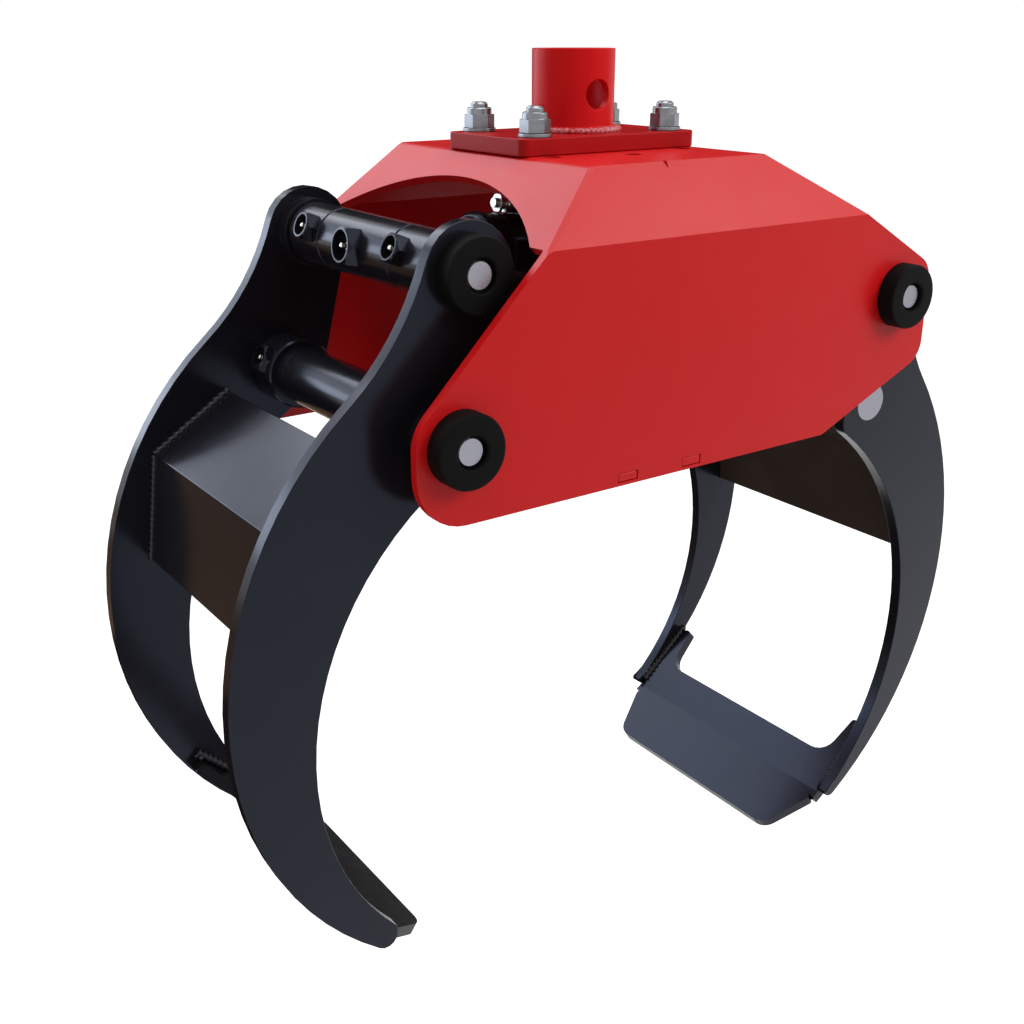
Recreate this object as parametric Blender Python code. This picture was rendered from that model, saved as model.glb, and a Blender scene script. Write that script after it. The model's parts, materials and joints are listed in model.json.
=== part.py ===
"""Log grapple with two claws, one hydraulic cylinder and two tie rods, hung from a rotator.

X points right, Y points away and Z points up. The origin is where the axis of the rotator boss
crosses the axis of its cross pin. Sizes are in millimetres here and every mesh is made in metres.
"""
import math

import bmesh
import bpy
from mathutils import Vector

MM = 0.001
GAP = 0.3
FACETS = 24
FEW_FACETS = 16

# The hood's top face lies this far under the cross pin.
TOP_Z = -48.0
SHEET = 8.0
BOLT_X = 75.0
BOLT_Y = 43.25
BOLT_R = 8.0
TOP_HALF_X = BOLT_X + 22.7
TOP_HALF_Y = 151.2
FOLD_Z = TOP_Z - 57.6
FOLD_LEFT = -161.8
FOLD_RIGHT = 209.0
SIDE_Y = 181.9
SIDE_IN = SIDE_Y - SHEET
HOOD_FOOT = TOP_Z - 265.7
HOOD_LEFT = -286.5
HOOD_RIGHT = 311.0

PIN_A = (-246.0, TOP_Z - 200.0)
PIN_B = (266.0, TOP_Z - 139.0)
PIN_C = (-210.5, TOP_Z - 74.5)
PIN_D = (258.0, TOP_Z - 250.0)
PIN_R = 17.5
BORE_R = PIN_R + GAP
STUB_R = 11.0
CAP_R = 30.0
CAP_LONG = 18.0

# Both claw plates' outlines: circles as (centre, radius), drawn as for the right-hand claw.
LEFT_SHAPE = {'head': (-PIN_C[0], PIN_C[1]), 'outer': ((110.3, TOP_Z - 417.1), 328.5),
              'inner': ((92.1, TOP_Z - 473.9), 274.9), 'neck': 230.0, 'corner_x': 208.5, 'corner_r': 22.0,
              'tip_r': 11.5, 'tip_x': 297.5}
RIGHT_SHAPE = {'head': PIN_B, 'outer': ((72.7, TOP_Z - 442.9), 337.5),
               'inner': ((67.3, TOP_Z - 507.9), 278.8), 'neck': 150.0, 'corner_x': 219.0, 'corner_r': 16.0,
               'tip_r': 9.0, 'tip_x': 252.0}

PLATE = 20.0
LEFT_IN = 123.5
LEFT_OUT = LEFT_IN + PLATE
RIGHT_IN = 149.0
RIGHT_OUT = RIGHT_IN + PLATE
HEAD_R = 41.0
FOLDED = 10.0

TAB_X = (-74.5, -0.5)
TAB_HALF = 11.0
TIE_Z = TOP_Z - 262.6

CYLINDER_WAY = Vector((PIN_C[0] - PIN_B[0], 0, PIN_C[1] - PIN_B[1])).normalized()
BARREL_R = 38.0
BARREL_BORE = BARREL_R - 7.7
BARREL_END = 360.0
ROD_R = 18.0
PORTS = (('right', 90.0), ('left', 325.0))
PORT_HALF = 14.0
PORT_RISE = BARREL_R + 8.2

EYE_R = 28.0
ROD_EYE_HALF = 61.0
TIE_EYE_OUT = 118.0

ROTATOR_PLATE = (TOP_HALF_X + 2.3, 60.0, 15.1)
BOSS_R = 38.05
BOSS_BORE = 30.0
BOSS_TOP = TOP_Z + 87.2
# The bolts and six spare holes lie round the boss; each place is (x, y).
SPARE_HOLES = ((0.0, 86.5), (0.0, -86.5), (BOLT_X, 68.0), (BOLT_X, -68.0), (-BOLT_X, 68.0), (-BOLT_X, -68.0))
SPARE_R = 8.5


def clear_scene():
    for old in list(bpy.data.objects):
        bpy.data.objects.remove(old)


def material(name, colour, metallic, roughness):
    made = bpy.data.materials.new(name)
    made.use_nodes = True
    shader = made.node_tree.nodes['Principled BSDF']
    shader.inputs['Base Color'].default_value = (*colour, 1.0)
    shader.inputs['Metallic'].default_value = metallic
    shader.inputs['Roughness'].default_value = roughness
    made.diffuse_color = (*colour, 1.0)
    return made


def at_angle(centre, radius, angle):
    turn = math.radians(angle)
    return (centre[0] + radius * math.cos(turn), centre[1] + radius * math.sin(turn))


def arc(centre, radius, start, end, count):
    """Points on an arc from the start angle to the end angle, in degrees."""
    return [at_angle(centre, radius, start + (end - start) * step / count) for step in range(count + 1)]


def sweep(centre, radius, start, end, side, count):
    """An arc from one angle to another, anticlockwise for side 1 and clockwise for side -1."""
    turn = side * ((side * (end - start)) % 360)
    return arc(centre, radius, start, start + turn, count)


def angle_of(centre, point):
    return math.degrees(math.atan2(point[1] - centre[1], point[0] - centre[0]))


def rounded(corners, count=6):
    """A closed outline from corners (x, y, radius), each rounded with its own radius."""
    points = []
    total = len(corners)
    for index, (x, y, radius) in enumerate(corners):
        if radius <= 0:
            points.append((x, y))
            continue
        here = Vector((x, y))
        before = (Vector(corners[index - 1][:2]) - here).normalized()
        after = (Vector(corners[(index + 1) % total][:2]) - here).normalized()
        half = before.angle(after) / 2
        reach = radius / math.tan(half)
        middle = here + (before + after).normalized() * (radius / math.sin(half))
        first = here + before * reach
        last = here + after * reach
        start = angle_of(middle, first)
        turn = (angle_of(middle, last) - start + 180) % 360 - 180
        points.extend(arc(middle, radius, start, start + turn, count))
    return points


def solid(bm):
    bmesh.ops.remove_doubles(bm, verts=bm.verts, dist=0.001)
    bmesh.ops.recalc_face_normals(bm, faces=bm.faces)
    return bm


def prism(outline, low, high, place):
    """A prism over an outline; place turns (u, v, height) into a point."""
    bm = bmesh.new()
    foot = [bm.verts.new(place(u, v, low)) for u, v in outline]
    head = [bm.verts.new(place(u, v, high)) for u, v in outline]
    bm.faces.new(foot)
    bm.faces.new(head)
    for index in range(len(outline)):
        after = (index + 1) % len(outline)
        bm.faces.new((foot[index], foot[after], head[after], head[index]))
    return solid(bm)


def along_y(u, v, height):
    return (u, height, v)


def along_x(u, v, height):
    return (height, u, v)


def along_z(u, v, height):
    return (u, v, height)


def mirrored(outline):
    return [(-x, z) for x, z in outline]


def turned(profile, centre, axis, segments=FACETS):
    """A ring or rod turned about an axis; the profile is a list of (distance along, radius)."""
    axis = Vector(axis).normalized()
    side = axis.orthogonal().normalized()
    if abs(axis.y) > 0.9:
        side = Vector((1, 0, 0))
    other = axis.cross(side)
    centre = Vector(centre)
    bm = bmesh.new()
    rings = []
    for along, radius in profile:
        if radius == 0:
            rings.append([bm.verts.new(centre + axis * along)] * segments)
            continue
        ring = []
        for step in range(segments):
            angle = 2 * math.pi * step / segments
            spoke = side * math.cos(angle) + other * math.sin(angle)
            ring.append(bm.verts.new(centre + axis * along + spoke * radius))
        rings.append(ring)
    for first, second in zip(rings, rings[1:] + rings[:1]):
        for step in range(segments):
            after = (step + 1) % segments
            corners = [first[step], first[after], second[after], second[step]]
            face = [corner for index, corner in enumerate(corners) if corner not in corners[:index]]
            if len(face) > 2:
                bm.faces.new(face)
    return solid(bm)


def rod(start, end, radius, segments=FACETS):
    start = Vector(start)
    reach = Vector(end) - start
    return turned([(0, 0), (0, radius), (reach.length, radius), (reach.length, 0)], start, reach, segments)


def hexagon(across):
    return [at_angle((0, 0), across / math.sqrt(3), 30 + 60 * k) for k in range(6)]


def block(low, high):
    outline = [(low[0], low[1]), (high[0], low[1]), (high[0], high[1]), (low[0], high[1])]
    return prism(outline, low[2], high[2], along_z)


def as_object(name, bm):
    mesh = bpy.data.meshes.new(name)
    bm.to_mesh(mesh)
    bm.free()
    made = bpy.data.objects.new(name, mesh)
    bpy.context.scene.collection.objects.link(made)
    return made


def combine(target, tools, operation):
    """The target bmesh after a Boolean with each tool bmesh in turn."""
    made = as_object('work', target)
    for tool in tools:
        cutter = as_object('cutter', tool)
        cutter.hide_render = True
        cutter.display_type = 'WIRE'
        modifier = made.modifiers.new('combine', 'BOOLEAN')
        modifier.operation = operation
        modifier.solver = 'EXACT'
        modifier.object = cutter
        bpy.context.view_layer.update()
        graph = bpy.context.evaluated_depsgraph_get()
        result = bpy.data.meshes.new_from_object(made.evaluated_get(graph))
        made.modifiers.clear()
        made.data = result
        bpy.data.objects.remove(cutter)
    bm = bmesh.new()
    bm.from_mesh(made.data)
    bpy.data.objects.remove(made)
    bmesh.ops.remove_doubles(bm, verts=bm.verts, dist=0.002)
    bmesh.ops.dissolve_degenerate(bm, edges=bm.edges, dist=0.001)
    return bm


def cut(target, *tools):
    return combine(target, tools, 'DIFFERENCE')


def join(target, *tools):
    return combine(target, tools, 'UNION')


def node(name, bm, look, pivot=(0.0, 0.0)):
    """Hand over one piece, in metres, with its origin on the axis that it turns about."""
    origin = Vector((pivot[0], 0.0, pivot[1])) * MM
    bmesh.ops.scale(bm, vec=(MM, MM, MM), verts=bm.verts)
    bmesh.ops.translate(bm, vec=-origin, verts=bm.verts)
    made = as_object(name, bm)
    made.location = origin
    made.data.materials.append(look)
    return made


def bore(pin, radius, low=-300.0, high=300.0):
    return turned([(low, 0), (low, radius), (high, radius), (high, 0)], (pin[0], 0, pin[1]), (0, 1, 0))


def sleeve(pin, low, high, outer, inner=BORE_R):
    return turned([(low, inner), (low, outer), (high, outer), (high, inner)],
                  (pin[0], 0, pin[1]), (0, 1, 0))


def guard(pin, y, angle, reach):
    """The hexagonal cup round a grease nipple, standing on an eye and open outwards."""
    out = Vector((math.cos(math.radians(angle)), 0, math.sin(math.radians(angle))))
    side = Vector((0, 1, 0))
    rise = out.cross(side)
    foot = Vector((pin[0], y, pin[1]))

    def place(u, v, height):
        return foot + side * u + rise * v + out * height

    return prism(hexagon(24.0), EYE_R * 0.75, reach, place), foot, out


def guard_bore(foot, out, floor, reach):
    return rod(foot + out * floor, foot + out * (reach + 5), 10.0, FEW_FACETS)


def nipple(pin, y, angle, floor):
    """A small grease nipple standing on an eye inside its guard."""
    out = Vector((math.cos(math.radians(angle)), 0, math.sin(math.radians(angle))))
    foot = Vector((pin[0], y, pin[1])) + out * (floor + GAP)
    profile = [(0, 0), (0, 4.0), (3.0, 4.0), (3.0, 2.6), (5.0, 2.6), (6.5, 3.2), (7.6, 2.0), (7.6, 0)]
    return turned(profile, foot, out, 12)


def hood_shell():
    """The folded hood: the block inside both outer outlines, less the space inside it."""
    slope_y = (SIDE_Y - TOP_HALF_Y) / (TOP_Z - FOLD_Z)
    inset_y = SHEET * math.hypot(1, slope_y)
    across = [(-TOP_HALF_Y, TOP_Z), (TOP_HALF_Y, TOP_Z), (SIDE_Y, FOLD_Z), (SIDE_Y, HOOD_FOOT - 20),
              (-SIDE_Y, HOOD_FOOT - 20), (-SIDE_Y, FOLD_Z)]
    inner_top = TOP_HALF_Y + SHEET * slope_y - inset_y
    inner_fold = FOLD_Z - (SIDE_IN - (SIDE_Y - inset_y)) / slope_y
    hollow = [(-inner_top, TOP_Z - SHEET), (inner_top, TOP_Z - SHEET), (SIDE_IN, inner_fold),
              (SIDE_IN, HOOD_FOOT - 40), (-SIDE_IN, HOOD_FOOT - 40), (-SIDE_IN, inner_fold)]
    outer = prism(across, -420, 420, along_x)
    side = prism(hood_side_outline(), -300, 300, along_y)
    body = combine(outer, [side], 'INTERSECT')
    left_slope = (-TOP_HALF_X - FOLD_LEFT) / (TOP_Z - FOLD_Z)
    right_slope = (FOLD_RIGHT - TOP_HALF_X) / (TOP_Z - FOLD_Z)
    left_inset = SHEET * math.hypot(1, left_slope)
    right_inset = SHEET * math.hypot(1, right_slope)
    lean = math.atan(left_slope)
    foot_in = (FOLD_LEFT + SHEET * math.cos(lean), FOLD_Z - SHEET * math.sin(lean))
    ends = [(-TOP_HALF_X - SHEET * left_slope + left_inset, TOP_Z - SHEET), foot_in,
            (FOLD_LEFT, FOLD_Z), (-420, FOLD_Z), (-420, HOOD_FOOT - 60),
            (420, HOOD_FOOT - 60), (420, FOLD_Z), (FOLD_RIGHT - right_inset, FOLD_Z),
            (TOP_HALF_X + SHEET * right_slope - right_inset, TOP_Z - SHEET)]
    space = combine(prism(hollow, -410, 410, along_x), [prism(ends, -290, 290, along_y)], 'INTERSECT')
    body = cut(body, space, arch_cutter())
    body = cut(body, bore(PIN_A, BORE_R), bore(PIN_B, BORE_R))
    for x, y in SPARE_HOLES:
        body = cut(body, rod((x, y, TOP_Z - 20), (x, y, TOP_Z + 20), SPARE_R, FEW_FACETS))
    for x, y in bolt_places():
        body = cut(body, rod((x, y, TOP_Z - 20), (x, y, TOP_Z + 20), BOLT_R + GAP, FEW_FACETS))
    for x in TAB_X:
        body = cut(body, block((x - TAB_HALF - GAP, -200, TIE_Z - GAP),
                               (x + TAB_HALF + GAP, 200, TIE_Z + SHEET + GAP)))
    notch = [(-25.5, TOP_Z + 5), (-18, TOP_Z - 6), (-17.5, TOP_Z + 5)]
    return cut(body, prism(notch, -TOP_HALF_Y - 6, -TOP_HALF_Y + 4, along_y))


def hood_side_outline():
    corners = [(-TOP_HALF_X, TOP_Z, 0), (TOP_HALF_X, TOP_Z, 0), (FOLD_RIGHT, FOLD_Z, 0),
               (HOOD_RIGHT, TOP_Z - 114.0, 26.0), (HOOD_RIGHT, TOP_Z - 206.3, 25.0),
               (172.4, HOOD_FOOT, 15.0), (HOOD_LEFT, HOOD_FOOT, 45.0), (HOOD_LEFT, PIN_A[1], 0)]
    outline = rounded(corners, 8)
    radius = PIN_A[0] - HOOD_LEFT
    slope = math.degrees(math.atan2(radius, radius))
    outline.extend(arc(PIN_A, radius, 180, 180 - slope, 8)[1:])
    outline.append((FOLD_LEFT, FOLD_Z))
    return outline


def arch_cutter():
    """The arch in the left end slope, a circle's cap that opens at the slope's foot."""
    down = Vector((FOLD_LEFT + TOP_HALF_X, 0, FOLD_Z - TOP_Z)).normalized()
    out = Vector((down.z, 0, -down.x))
    top = Vector((-TOP_HALF_X, 0, TOP_Z))
    crown = 29.4
    radius = 252.0
    middle = 4.0
    foot = math.hypot(FOLD_LEFT + TOP_HALF_X, FOLD_Z - TOP_Z)
    spread = math.degrees(math.acos((radius + crown - foot) / radius))
    half = radius * math.sin(math.radians(spread))
    outline = arc((middle, crown + radius), radius, -90 - spread, -90 + spread, 24)
    outline = outline + [(middle + half, foot + 40.0), (middle - half, foot + 40.0)]

    def place(u, v, height):
        point = top + down * v + out * height
        point.y = u
        return point

    return prism(outline, -30, 30, place)


def bolt_places():
    return [(-BOLT_X, -BOLT_Y), (BOLT_X, -BOLT_Y), (-BOLT_X, BOLT_Y), (BOLT_X, BOLT_Y)]


def tie_plate():
    inner = SIDE_IN - GAP
    outer = SIDE_Y - 0.2
    corners = [(-115, -inner, 0)]
    for x in TAB_X:
        corners += [(x - TAB_HALF, -inner, 0), (x - TAB_HALF, -outer, 0),
                    (x + TAB_HALF, -outer, 0), (x + TAB_HALF, -inner, 0)]
    corners += [(40, -inner, 0), (40, inner, 0)]
    for x in reversed(TAB_X):
        corners += [(x + TAB_HALF, inner, 0), (x + TAB_HALF, outer, 0),
                    (x - TAB_HALF, outer, 0), (x - TAB_HALF, inner, 0)]
    corners += [(-115, inner, 0)]
    return prism(rounded(corners), TIE_Z, TIE_Z + SHEET, along_z)


def build_hood(red, steel, zinc, black):
    node('hood_shell', hood_shell(), red)
    node('hood_tie_plate', tie_plate(), red)
    half_x, half_y, thick = ROTATOR_PLATE
    foot = TOP_Z + GAP
    corners = [(-half_x, -half_y, 8), (half_x, -half_y, 8), (half_x, half_y, 8), (-half_x, half_y, 8)]
    plate = prism(rounded(corners), foot, TOP_Z + thick, along_z)
    for x, y in bolt_places():
        plate = cut(plate, rod((x, y, TOP_Z - 20), (x, y, TOP_Z + 40), BOLT_R + GAP, FEW_FACETS))
    node('rotator_plate', plate, red)
    low = TOP_Z + thick + GAP
    profile = [(low, BOSS_BORE), (low, BOSS_R + 5), (low + 5, BOSS_R), (BOSS_TOP, BOSS_R), (BOSS_TOP, BOSS_BORE)]
    boss = turned(profile, (0, 0, 0), (0, 0, 1), 40)
    boss = cut(boss, rod((0, -60, 0), (0, 60, 0), 13.0, 20))
    node('rotator_boss', boss, red)
    for tag, (x, y) in zip(('front_left', 'front_right', 'back_left', 'back_right'), bolt_places()):
        build_fastener(tag, x, y, thick, steel, zinc)
    for name, pin in (('a', PIN_A), ('b', PIN_B)):
        build_pin(name, pin, SIDE_Y, steel, black, pin)


def build_fastener(tag, x, y, thick, steel, zinc):
    place = (x, y, 0)
    up = (0, 0, 1)
    under = TOP_Z - SHEET - GAP
    top = TOP_Z + thick
    tip = top + 26.0
    head = prism([(x + u, y + v) for u, v in hexagon(24.0)], under - 10, under, along_z)
    shank = rod((x, y, under - 2), (x, y, tip - 2), BOLT_R, FEW_FACETS)
    point = turned([(tip - 2.01, 0), (tip - 2.01, BOLT_R), (tip, BOLT_R - 2), (tip, 0)], place, up, FEW_FACETS)
    node('rotator_bolt_' + tag, join(head, shank, point), steel)
    low = top + GAP
    washer = turned([(low, BOLT_R + GAP), (low, 15.0), (low + 3, 15.0), (low + 3, BOLT_R + GAP)],
                    place, up, 24)
    node('rotator_washer_' + tag, washer, zinc)
    low = low + 3 + GAP
    nut = prism([(x + u, y + v) for u, v in hexagon(24.0)], low, low + 11.5, along_z)
    collar = turned([(low + 10, 0), (low + 10, 11.4), (low + 16.5, 11.4), (low + 17.5, 10.4), (low + 17.5, 0)],
                    place, up, FEW_FACETS)
    nut = cut(join(nut, collar), rod((x, y, low - 5), (x, y, low + 30), BOLT_R + GAP, FEW_FACETS))
    node('rotator_nut_' + tag, nut, zinc)


def build_pin(name, pin, face, steel, black, pivot):
    """A pin with a thin end in a round black cap on each side; face is where the caps sit."""
    end = face + CAP_LONG - 2
    profile = [(-end, 0), (-end, STUB_R), (-face, STUB_R), (-face, PIN_R), (face, PIN_R), (face, STUB_R),
               (end, STUB_R), (end, 0)]
    node('pin_' + name, turned(profile, (pin[0], 0, pin[1]), (0, 1, 0)), steel, pivot)
    low = face + GAP
    high = face + CAP_LONG
    hole = STUB_R + GAP
    cap = [(low, hole), (low, CAP_R), (high - 2, CAP_R), (high, CAP_R - 2), (high, hole)]
    for tag, sign in (('front', -1), ('back', 1)):
        made = turned([(sign * along, radius) for along, radius in cap], (pin[0], 0, pin[1]), (0, 1, 0))
        node('cap_' + name + '_' + tag, made, black, pivot)


def tangent_angle(point, centre, radius, side):
    """Where a line from the point touches the circle, as an angle at its centre."""
    back = angle_of(centre, point)
    reach = math.hypot(point[0] - centre[0], point[1] - centre[1])
    return back + side * math.degrees(math.acos(radius / reach))


def meeting(first, first_reach, second, second_reach, side):
    """The point at the given distances from two centres, on one side of the line between them."""
    apart = math.hypot(second[0] - first[0], second[1] - first[1])
    along = (apart ** 2 + first_reach ** 2 - second_reach ** 2) / (2 * apart)
    off = math.sqrt(first_reach ** 2 - along ** 2) * side
    ux = (second[0] - first[0]) / apart
    uz = (second[1] - first[1]) / apart
    return (first[0] + ux * along - uz * off, first[1] + uz * along + ux * off)


def claw_outline(shape):
    """A claw plate seen from the front, drawn as if it were the right-hand claw."""
    head = shape['head']
    outer, outer_r = shape['outer']
    inner, inner_r = shape['inner']
    neck = meeting(head, HEAD_R + shape['neck'], outer, outer_r + shape['neck'], 1)
    corner_x = shape['corner_x']
    corner = (corner_x, inner[1] + math.sqrt(inner_r ** 2 - (corner_x - inner[0]) ** 2))
    touch = tangent_angle(corner, head, HEAD_R, -1)
    start = at_angle(head, HEAD_R, touch)
    outline = sweep(head, HEAD_R, touch, angle_of(head, neck), -1, 12)
    outline += sweep(neck, shape['neck'], angle_of(neck, head), angle_of(neck, outer), 1, 8)[1:]
    tip_r = shape['tip_r']
    tip_x = shape['tip_x'] + tip_r
    tip = (tip_x, outer[1] - math.sqrt((outer_r - tip_r) ** 2 - (tip_x - outer[0]) ** 2))
    outline += sweep(outer, outer_r, angle_of(outer, neck), angle_of(outer, tip), -1, 24)[1:]
    outline += sweep(tip, tip_r, angle_of(outer, tip), 180, -1, 5)[1:]
    end = (shape['tip_x'], inner[1] - math.sqrt(inner_r ** 2 - (shape['tip_x'] - inner[0]) ** 2))
    along = Vector((start[0] - corner[0], start[1] - corner[1])).normalized()
    into = Vector((along.y, -along.x))
    fillet = shape['corner_r']
    offset = Vector(corner) + into * fillet - Vector(inner)
    back = offset.dot(along)
    shift = -back + math.sqrt(back ** 2 - offset.length_squared + (inner_r + fillet) ** 2)
    middle = Vector(corner) + into * fillet + along * shift
    on_line = middle - into * fillet
    outline += sweep(inner, inner_r, angle_of(inner, end), angle_of(inner, middle), 1, 24)
    outline += sweep(middle, fillet, angle_of(middle, inner), angle_of(middle, on_line), -1, 5)[1:]
    return outline


def cross_section(points):
    """The section of a folded plate; the points are its outer face, top to foot."""
    top, fold, foot = [Vector(point) for point in points]
    upper = (fold - top).normalized()
    lower = (foot - fold).normalized()
    upper_in = Vector((upper.y, -upper.x))
    lower_in = Vector((lower.y, -lower.x))
    corner = (upper_in + lower_in) / (1 + upper_in.dot(lower_in))
    outline = [top, fold, foot, foot + lower_in * FOLDED, fold + corner * FOLDED, top + upper_in * FOLDED]
    return [(point.x, point.y) for point in outline]


def scoop(bend, web, lip, between, lip_half, lip_long, shoulder, mirror):
    """A bent end plate: two ears and a web between the claw plates, and a lip under their tips."""
    thick = 12.0
    ear = 96.7
    web_top = 43.5
    taper = 27.0
    inside = between - 9.0
    corners = [(0, between, 0), (ear, between, 3), (ear, inside, 4), (web_top, inside - 7, 22),
               (web_top, 7 - inside, 22), (ear, -inside, 4), (ear, -between, 3), (0, -between, 0),
               (-shoulder, -between, 0), (-shoulder, -lip_half, 4), (-lip_long, taper - lip_half, 20),
               (-lip_long, lip_half - taper, 20), (-shoulder, lip_half, 4), (-shoulder, between, 0)]
    bm = prism(rounded(corners, 5), 0, thick, along_z)
    geometry = list(bm.verts) + list(bm.edges) + list(bm.faces)
    bmesh.ops.bisect_plane(bm, geom=geometry, dist=0.0001, plane_co=(0, 0, 0), plane_no=(1, 0, 0))
    web_way = Vector((math.cos(math.radians(web)), math.sin(math.radians(web))))
    lip_way = Vector((math.cos(math.radians(lip)), math.sin(math.radians(lip))))
    web_out = Vector((web_way.y, -web_way.x))
    lip_out = Vector((-lip_way.y, lip_way.x))
    mitre = (web_out + lip_out) / (1 + web_out.dot(lip_out))
    for vert in bm.verts:
        s, y, t = vert.co
        point = Vector(bend)
        if s > 0.001:
            point += web_way * s + web_out * t
        elif s < -0.001:
            point += lip_way * -s + lip_out * t
        else:
            point += mitre * t
        vert.co = (-point.x if mirror else point.x, y, point.y)
    return solid(bm)


def claw_plate(outline, low, high, holes, ring=None):
    plate = prism(outline, low, high, along_y)
    if ring:
        pin, near, radius = ring
        middle = (low + high) / 2
        ends = sorted((near, middle))
        plate = join(plate, turned([(ends[0], 0), (ends[0], radius), (ends[1], radius), (ends[1], 0)],
                                   (pin[0], 0, pin[1]), (0, 1, 0)))
    return cut(plate, *[bore(pin, radius) for pin, radius in holes])


def build_left_claw(paint, steel, black, zinc):
    outline = mirrored(claw_outline(LEFT_SHAPE))
    holes = [(PIN_A, BORE_R), (PIN_C, BORE_R)]
    for tag, sign in (('front', -1), ('back', 1)):
        low, high = sorted((sign * LEFT_IN, sign * LEFT_OUT))
        ring = (PIN_C, sign * (TIE_EYE_OUT + GAP), 31.0)
        node('left_plate_' + tag, claw_plate(outline, low, high, holes, ring), paint, PIN_A)
        low, high = sorted((sign * (LEFT_OUT + GAP), sign * 162.0))
        boss = sleeve(PIN_A, low, high, 25.0)
        low, high = sorted((sign * 161.0, sign * (SIDE_IN - GAP)))
        node('left_boss_' + tag, join(boss, sleeve(PIN_A, low, high, 28.5)), paint, PIN_A)
    between = LEFT_IN - GAP
    points = [(305.0, TOP_Z - 215.0), (382.0, TOP_Z - 264.0), (396.0, TOP_Z - 366.0)]
    section = mirrored(cross_section(points))
    node('left_cross_plate', prism(section, -between, between, along_y), paint, PIN_A)
    made = scoop((304.5, TOP_Z - 663.5), 46.4, -145.0, between, 131.0, 66.0, 9.0, True)
    node('left_scoop', made, paint, PIN_A)
    tube = sleeve(PIN_A, -between, between, 26.5)
    tube = join(tube, sleeve(PIN_A, 92.0, between, 33.0))
    cup, foot, out = guard(PIN_A, 108.0, 152.0, 41.0)
    tube = cut(join(tube, cup), guard_bore(foot, out, 32.0, 41.0), bore(PIN_A, BORE_R))
    node('left_pivot_tube', tube, paint, PIN_A)
    node('left_nipple', nipple(PIN_A, 108.0, 152.0, 32.0), zinc, PIN_A)
    build_pin('c', PIN_C, LEFT_OUT, steel, black, PIN_A)


def build_right_claw(paint, steel, zinc):
    outline = claw_outline(RIGHT_SHAPE)
    holes = [(PIN_B, BORE_R), (PIN_D, BORE_R)]
    between = RIGHT_IN - GAP
    for tag, sign in (('front', -1), ('back', 1)):
        low, high = sorted((sign * RIGHT_IN, sign * RIGHT_OUT))
        node('right_plate_' + tag, claw_plate(outline, low, high, holes), paint, PIN_B)
        low, high = sorted((sign * (RIGHT_OUT + GAP), sign * (SIDE_IN - GAP)))
        node('right_washer_' + tag, sleeve(PIN_B, low, high, 28.0), zinc, PIN_B)
        low, high = sorted((sign * 34.0, sign * between))
        node('right_sleeve_' + tag, sleeve(PIN_B, low, high, 27.0), paint, PIN_B)
    points = [(317.0, TOP_Z - 269.0), (386.0, TOP_Z - 340.0), (390.0, TOP_Z - 450.0)]
    section = cross_section(points)
    node('right_cross_plate', prism(section, -between, between, along_y), paint, PIN_B)
    made = scoop((255.0, TOP_Z - 721.0), 41.9, -148.4, between, 153.5, 68.7, 8.0, False)
    node('right_scoop', made, paint, PIN_B)
    flush = RIGHT_OUT + 0.4
    thin = 15.0
    profile = [(-flush, 0), (-flush, PIN_R), (-124, PIN_R), (-124, thin), (124, thin), (124, PIN_R),
               (flush, PIN_R), (flush, 0)]
    node('pin_d', turned(profile, (PIN_D[0], 0, PIN_D[1]), (0, 1, 0)), steel, PIN_B)


def on_cylinder(along, y=0.0, up=0.0):
    """A point on the cylinder's axis, measured from pin B, raised square to the axis."""
    rise = Vector((0, 1, 0)).cross(CYLINDER_WAY)
    return Vector((PIN_B[0], y, PIN_B[1])) + CYLINDER_WAY * along + rise * up


def build_cylinder(paint, chrome, zinc):
    way = CYLINDER_WAY
    base = on_cylinder(0)
    profile = [(31, 0), (31, BARREL_R - 8), (36, BARREL_R), (BARREL_END, BARREL_R), (BARREL_END, BARREL_BORE),
               (60, BARREL_BORE), (60, 0)]
    barrel = turned(profile, base, way, 28)
    eye = sleeve(PIN_B, -31, 31, 35.5, 10.0)
    barrel = join(barrel, eye)
    for _, along in PORTS:
        near = along - PORT_HALF
        far = along + PORT_HALF
        corners = [(near, -PORT_HALF), (far, -PORT_HALF), (far, PORT_HALF), (near, PORT_HALF)]
        barrel = join(barrel, prism(corners, BARREL_R - 4, BARREL_R + 17, on_cylinder))
    barrel = cut(barrel, bore(PIN_B, 22.8))
    node('cylinder_barrel', barrel, paint, PIN_C)
    low = BARREL_END + GAP
    gland = [(low, ROD_R + GAP), (low, BARREL_R), (low + 24, BARREL_R), (low + 28, BARREL_R - 4),
             (low + 28, ROD_R + GAP)]
    node('cylinder_gland', turned(gland, base, way, 28), paint, PIN_C)
    for tag, along in PORTS:
        foot = on_cylinder(along + PORT_HALF + GAP, 0, PORT_RISE)
        adapter = [(0, 0), (0, 7), (19, 7), (19, 5.6), (21, 5.6), (21, 7.8), (26, 7.8), (26, 0)]
        node('port_adapter_' + tag, turned(adapter, foot, way, FEW_FACETS), zinc, PIN_C)
    reach = Vector((PIN_C[0], 0, PIN_C[1]))
    shaft = rod(reach, on_cylinder(235), ROD_R)
    piston = rod(on_cylinder(236), on_cylinder(208), BARREL_BORE - 0.4, 28)
    shaft = join(shaft, piston, sleeve(PIN_C, -ROD_EYE_HALF, ROD_EYE_HALF, EYE_R, 8.0))
    cup, foot, out = guard(PIN_C, 0.0, 170.0, 38.0)
    shaft = cut(join(shaft, cup), guard_bore(foot, out, EYE_R - 1, 38.0), bore(PIN_C, BORE_R, -70, 70))
    node('piston_rod', shaft, chrome, PIN_C)
    node('rod_nipple', nipple(PIN_C, 0.0, 170.0, EYE_R - 1), zinc, PIN_C)


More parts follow.
